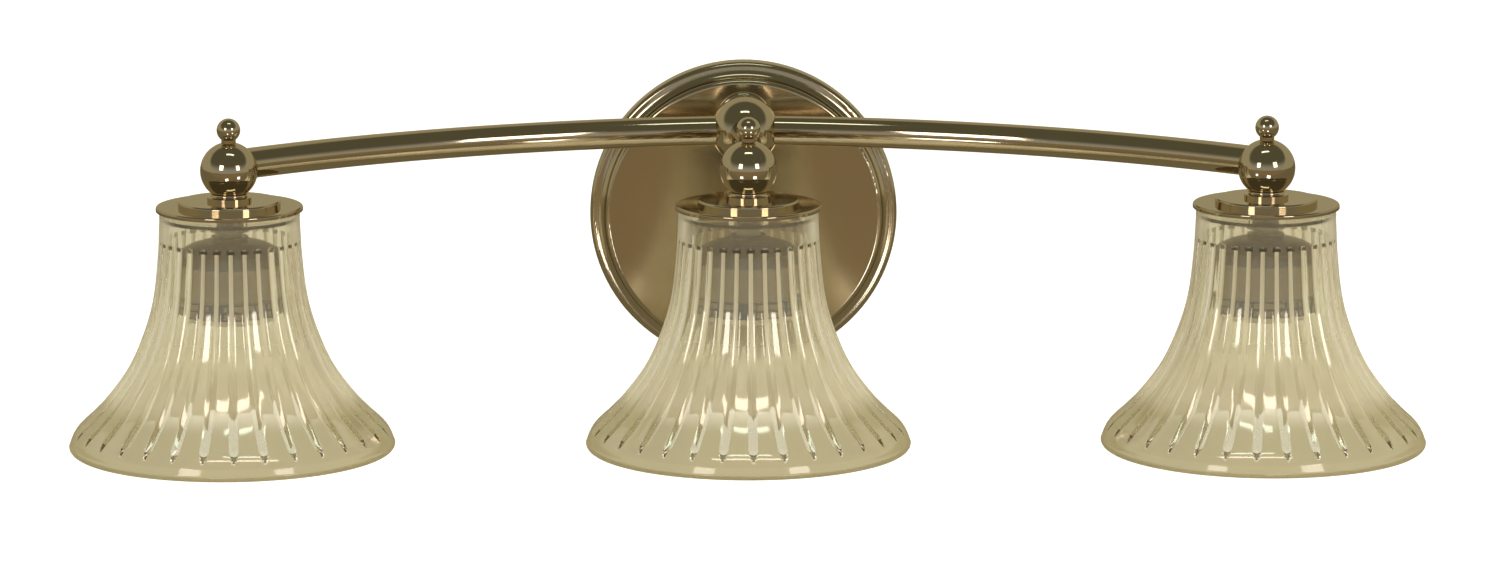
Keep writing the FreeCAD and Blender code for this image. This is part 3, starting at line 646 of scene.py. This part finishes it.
def section(name, points):
    """Closed section in the XZ plane from (radius, height) points in metres."""
    bpy.ops.object.select_all(action="DESELECT")
    bpy.ops.mesh.primitive_circle_add(vertices=len(points), radius=0.01)
    piece = bpy.context.object
    piece.name = name
    for corner, (radius, level) in zip(piece.data.vertices, points):
        corner.co = (radius, 0.0, level)
    return piece


inside = []
inside_from = outer_curve[::INSIDE_EVERY]
for i, (radius, depth) in enumerate(inside_from):
    ahead = inside_from[min(i + 1, len(inside_from) - 1)]
    behind = inside_from[max(i - 1, 0)]
    run, fall = ahead[0] - behind[0], ahead[1] - behind[1]
    length = math.hypot(run, fall)
    share = i / (len(inside_from) - 1)
    wall = GLASS_WALL + (2 * LIP - GLASS_WALL) * share ** WALL_GROWS_LATE
    lean = 1 - share ** TURNS_LEVEL_LATE
    inside.append((radius - wall * (fall * lean + length * (1 - lean)) / length,
                   depth + wall * run * lean / length))
lip = []
lip_middle = (outside[-1][0] + inside[-1][0]) / 2
for step in range(1, LIP_STEPS):
    angle = math.pi * step / LIP_STEPS
    lip.append((lip_middle + LIP * math.cos(angle), outside[-1][1] + LIP * math.sin(angle)))
top = (CAP_TOP - glass_top) / MM
shoulder = []
for step in range(SHOULDER_STEPS):
    angle = math.pi / 2 * (1 - step / SHOULDER_STEPS)
    shoulder.append((BELL[0][0] - SHOULDER + SHOULDER * math.cos(angle),
                     top + SHOULDER - SHOULDER * math.sin(angle)))
shoulder.append((BELL[0][0], top + SHOULDER))
throat = inside[0][0]
under_top = [(throat, top + TOP_THICK + INNER_CORNER), (throat - INNER_CORNER, top + TOP_THICK),
             (HOLE, top + TOP_THICK)]
bell_points = [(HOLE, top)] + shoulder + outside + lip + inside[::-1] + under_top
bell = section("bell", [(radius * MM, -depth * MM) for radius, depth in bell_points])
print("bell section has", len(bell_points), "corners")

# %% [markdown]
# ## Spin the bell
# The mould leaves a row of V-shaped flutes round the outside, all of one width from top to
# bottom. The bell is spun in even columns, which spread as it widens, while a flute doesn't. So the
# columns are then slid round the ring, until each flute has the same eight whatever the radius.

# %% Spin the bell and slide its columns to the flutes
FLUTES = 32
FLUTE_HALF_WIDTH = 1.95
WIDEST_FLUTE = 0.6
FLUTE_COLUMNS = 4
CROWN_COLUMNS = 3


def spin_section(piece, steps):
    """Spin a section once round the Z axis and close it."""
    only(piece)
    bpy.ops.object.mode_set(mode="EDIT")
    bpy.ops.mesh.select_all(action="SELECT")
    bpy.ops.mesh.spin(steps=steps, angle=2 * math.pi, center=(0, 0, 0), axis=(0, 0, 1))
    bpy.ops.mesh.select_all(action="SELECT")
    bpy.ops.mesh.remove_doubles(threshold=1e-6)
    bpy.ops.mesh.normals_make_consistent(inside=False)
    bpy.ops.object.mode_set(mode="OBJECT")


spin_section(bell, steps=FLUTES * 2 * (FLUTE_COLUMNS + CROWN_COLUMNS))
for vertex in bell.data.vertices:
    radius = math.hypot(vertex.co.x, vertex.co.y)
    turn = math.atan2(vertex.co.y, vertex.co.x) / (2 * math.pi) * FLUTES
    valley = round(turn)
    column = abs(turn - valley) * 2 * (FLUTE_COLUMNS + CROWN_COLUMNS)
    edge = min(WIDEST_FLUTE, FLUTE_HALF_WIDTH / (math.pi * radius / MM / FLUTES))
    if column <= FLUTE_COLUMNS:
        slid = column / FLUTE_COLUMNS * edge
    else:
        slid = edge + (column - FLUTE_COLUMNS) / CROWN_COLUMNS * (1 - edge)
    angle = (valley + math.copysign(slid / 2, turn - valley)) * 2 * math.pi / FLUTES
    vertex.co.x, vertex.co.y = radius * math.cos(angle), radius * math.sin(angle)
print("bell has", len(bell.data.vertices), "vertices")

# %% [markdown]
# ## Press the flutes
# Each flute starts bluntly at a ring below the neck and runs out to a point above the lip. A
# vertex group says how far each place goes in, and a Displace modifier pushes it. The normals of
# the spun bell point outwards, so the groove stays square to the flare all the way down.

# %% Press the valleys in
FLUTE_DEPTH = 0.75
BLUNT_LENGTH = 0.35
BLUNT_BOW = 0.8
POINT_LENGTH = 5.0
POINT_NARROWS = 0.6
POINT_DEEPENS = 7.0
VALLEY_CURVE = 1.25


def is_outer(place):
    """Whether a place on the bell lies on its outer face."""
    return math.hypot(place.x, place.y) / MM >= radius_at(-place.z / MM) - GLASS_WALL / 2


def from_valley(place):
    """Distance round the ring to the nearest valley in mm."""
    radius = math.hypot(place.x, place.y) / MM
    turn = math.atan2(place.y, place.x) / (2 * math.pi) * FLUTES
    return abs(turn - round(turn)) * 2 * math.pi * radius / FLUTES


def flute_amount(place):
    """How far a flute presses the glass in at a place, from 0 on a crown to 1 in a valley."""
    depth = -place.z / MM
    if not is_outer(place) or not FLUTE_START < depth < FLUTE_END:
        return 0.0
    across = from_valley(place) / FLUTE_HALF_WIDTH
    opening = min(1.0, max(0.0, (depth - FLUTE_START - BLUNT_BOW * across ** 2) / BLUNT_LENGTH))
    point = min(1.0, (FLUTE_END - depth) / POINT_LENGTH)
    groove = max(0.0, 1 - across / point ** POINT_NARROWS)
    return groove ** VALLEY_CURVE * opening * min(1.0, POINT_DEEPENS * point)


def press(piece, depth, amount_at):
    """Push the surface in by a depth times an amount from 0 to 1 that depends on the place."""
    group = piece.vertex_groups.new(name="pressed")
    for vertex in piece.data.vertices:
        amount = amount_at(vertex.co)
        if amount > 0:
            group.add([vertex.index], amount, "REPLACE")
    only(piece)
    modifier = piece.modifiers.new("press", "DISPLACE")
    modifier.vertex_group = group.name
    modifier.mid_level = 0.0
    modifier.strength = -depth
    bpy.ops.object.modifier_apply(modifier=modifier.name)
    piece.vertex_groups.clear()


press(bell, FLUTE_DEPTH * MM, flute_amount)
bpy.ops.object.shade_smooth_by_angle(angle=math.radians(42))
print("pressed", FLUTES, "flutes", FLUTE_DEPTH, "mm deep")

# %% [markdown]
# ## Glass for crowns, flutes and ends
# One bell carries four kinds of glass, face by face: bare inside and on top, lustred on the
# crowns, and the gathered film in the flutes. On the neck only the core of a flute has caught it,
# and lower down the whole flute has. The last stretch of the point and the blunt start are steep,
# and get the dark tint.

# %% Share out the kinds of glass
CROWN_FACE, FLUTE_FACE, END_FACE = 1, 2, 3
NECK_END = 58
CORE_ONLY, WHOLE_FLUTE = 0.5, 0.02
DARK_POINT = 3.0
DARK_POINT_HALF_WIDTH = 1.5
DARK_START = 1.7

for finish in (tea_glass, lustred_glass, flute_glass, flute_end_glass):
    bell.data.materials.append(finish)
for face in bell.data.polygons:
    depth = -face.center.z / MM
    if not is_outer(face.center) or depth <= top + SHOULDER / 2:
        continue
    caught = CORE_ONLY if depth < NECK_END else WHOLE_FLUTE
    face.material_index = FLUTE_FACE if flute_amount(face.center) > caught else CROWN_FACE
    across = from_valley(face.center)
    left = FLUTE_END - depth
    in_point = 0 < left < DARK_POINT and across < DARK_POINT_HALF_WIDTH * left / DARK_POINT
    in_start = 0 < depth - FLUTE_START < DARK_START and across < DARK_START
    if in_point or in_start:
        face.material_index = END_FACE
print("faces of each kind:", [sum(face.material_index == kind for face in bell.data.polygons)
                              for kind in range(len(bell.data.materials))])

# %% [markdown]
# ## Three bells
# The finished bell is copied to the three lights, each with a mesh of its own. Each glass is turned
# by a few degrees on its nut, as whoever fitted it left it. The turn and the place go into the mesh,
# so that the object itself stays at the origin, as the ready-made nodes do.

# %% Hang a bell at each light
BELL_TURN = {"left": math.radians(3.6), "centre": math.radians(0.9), "right": math.radians(3.9)}


def place_copy(piece, name, shift, turn=0.0):
    """Own copy of a piece, turned and moved in its mesh so that its object stays at the origin."""
    twin = piece.copy()
    twin.data = piece.data.copy()
    twin.name = name
    bpy.context.scene.collection.objects.link(twin)
    only(twin)
    bpy.ops.object.mode_set(mode="EDIT")
    bpy.ops.mesh.select_all(action="SELECT")
    bpy.ops.transform.rotate(value=-turn, orient_axis="Z", center_override=(0, 0, 0))
    bpy.ops.transform.translate(value=shift)
    bpy.ops.object.mode_set(mode="OBJECT")
    return twin


bells = []
for light, axis in light_axis.items():
    glass = place_copy(bell, "glass_bell_" + light, (axis.x, axis.y, CAP_TOP), BELL_TURN[light])
    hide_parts("shade_" + light)
    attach(glass, "shade_" + light)
    bells.append(glass)
shine_on(over_bells, "lit_bells", bells)
bpy.data.objects.remove(bell)
print("three fluted bells,", len(glass.data.polygons), "faces each")

# %% [markdown]
# ## Knurled ring
# The ring at each socket's mouth is knurled, so that fingers can turn it: it has two rows of raised
# blocks. One block is a bevelled cube, half sunk in the sleeve. It is doubled, and the pair is spun
# round as separate copies.

# %% Set the blocks on each sleeve
BLOCKS = 28
BLOCK_WIDE = 3.1 * MM
BLOCK_TALL = 2.3 * MM
BLOCK_PROUD = 0.35 * MM
BLOCK_ROUND = 0.18 * MM
FIRST_ROW = 2.0 * MM
ROW_GAP = 3.3 * MM

sleeve_low = height("socket_sleeve_centre")[0]
ring_radius = radius_of("socket_sleeve_centre")
bpy.ops.object.select_all(action="DESELECT")
bpy.ops.mesh.primitive_cube_add(size=1)
knurl = bpy.context.object
for vertex in knurl.data.vertices:
    vertex.co = (ring_radius + vertex.co.x * 2 * BLOCK_PROUD, vertex.co.y * BLOCK_WIDE,
                 sleeve_low + FIRST_ROW + vertex.co.z * BLOCK_TALL)
bpy.ops.object.mode_set(mode="EDIT")
bpy.ops.mesh.select_all(action="SELECT")
bpy.ops.mesh.bevel(offset=BLOCK_ROUND, segments=2, affect="EDGES")
bpy.ops.mesh.select_all(action="SELECT")
bpy.ops.mesh.duplicate()
bpy.ops.transform.translate(value=(0, 0, ROW_GAP))
bpy.ops.mesh.select_all(action="SELECT")
bpy.ops.mesh.spin(steps=BLOCKS - 1, dupli=True, angle=2 * math.pi * (BLOCKS - 1) / BLOCKS,
                  center=(0, 0, 0), axis=(0, 0, 1))
bpy.ops.object.mode_set(mode="OBJECT")
knurl.data.materials.append(socket_nickel)
for light, axis in light_axis.items():
    blocks = place_copy(knurl, "knurled_ring_" + light, (axis.x, axis.y, 0.0))
    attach(blocks, "fixture")
bpy.data.objects.remove(knurl)
print("knurled rings,", len(blocks.data.polygons), "faces each")

# %% [markdown]
# ## Painted shade between the blocks
# Between the blocks of the ring a near-black band is painted shade, which is what makes them show.
# The band is a piece of its own, a few hundredths of a millimetre over the sleeve's surface, so it
# needs no mask.

# %% Lay the band round each sleeve
BAND_FROM = 0.4 * MM
BAND_TO = 7.0 * MM
BAND_PROUD = 0.06 * MM
BAND_SUNK = 0.2 * MM

band_low, band_high = sleeve_low + BAND_FROM, sleeve_low + BAND_TO
band_out, band_in = ring_radius + BAND_PROUD, ring_radius - BAND_SUNK
band = section("band", [(band_out, band_low), (band_out, band_high),
                        (band_in, band_high), (band_in, band_low)])
spin_section(band, steps=96)
only(band)
bpy.ops.object.shade_smooth_by_angle(angle=math.radians(30))
# The near-black band is painted shade between the blocks.
band.data.materials.append(painted_shade_black)
for light, axis in light_axis.items():
    dark = place_copy(band, "painted_shade_band_" + light, (axis.x, axis.y, 0.0))
    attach(dark, "fixture")
bpy.data.objects.remove(band)
print("painted shade bands,", len(dark.data.polygons), "faces each")

# %% [markdown]
# ## Rolled thread
# The screw shell that takes the lamp is rolled from thin sheet, so its thread shows inside and
# out. A plain tube is spun from many short rows, and each place is then moved in by a wave that
# climbs one pitch a turn. The wave dies out at both ends, where the sheet is left plain.

# %% Roll the thread of each screw shell
THREAD_PITCH = 3.63 * MM
THREAD_DEPTH = 0.75 * MM
THREAD_FADES = 1.5 * MM
SHELL_SHEET = 0.4 * MM
SHELL_ROWS = 61

shell_low, shell_high = height("screw_shell_centre")
shell_radius = radius_of("screw_shell_centre")
levels = [shell_low + (shell_high - shell_low) * row / (SHELL_ROWS - 1) for row in range(SHELL_ROWS)]
shell = section("shell", [(shell_radius, level) for level in levels]
                + [(shell_radius - SHELL_SHEET, level) for level in reversed(levels)])
spin_section(shell, steps=64)
for vertex in shell.data.vertices:
    radius = math.hypot(vertex.co.x, vertex.co.y)
    turn = math.atan2(vertex.co.y, vertex.co.x)
    wave = 0.5 - 0.5 * math.cos(2 * math.pi * (vertex.co.z - shell_low) / THREAD_PITCH - turn)
    ends = min(1.0, (vertex.co.z - shell_low) / THREAD_FADES, (shell_high - vertex.co.z) / THREAD_FADES)
    vertex.co.xy *= (radius - THREAD_DEPTH * wave * ends) / radius
only(shell)
bpy.ops.object.shade_smooth_by_angle(angle=math.radians(50))
shell.data.materials.append(bright_brass)
for light, axis in light_axis.items():
    rolled = place_copy(shell, "rolled_shell_" + light, (axis.x, axis.y, 0.0))
    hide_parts("screw_shell_" + light)
    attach(rolled, "fixture")
bpy.data.objects.remove(shell)
print("rolled shells,", len(rolled.data.polygons), "faces each")
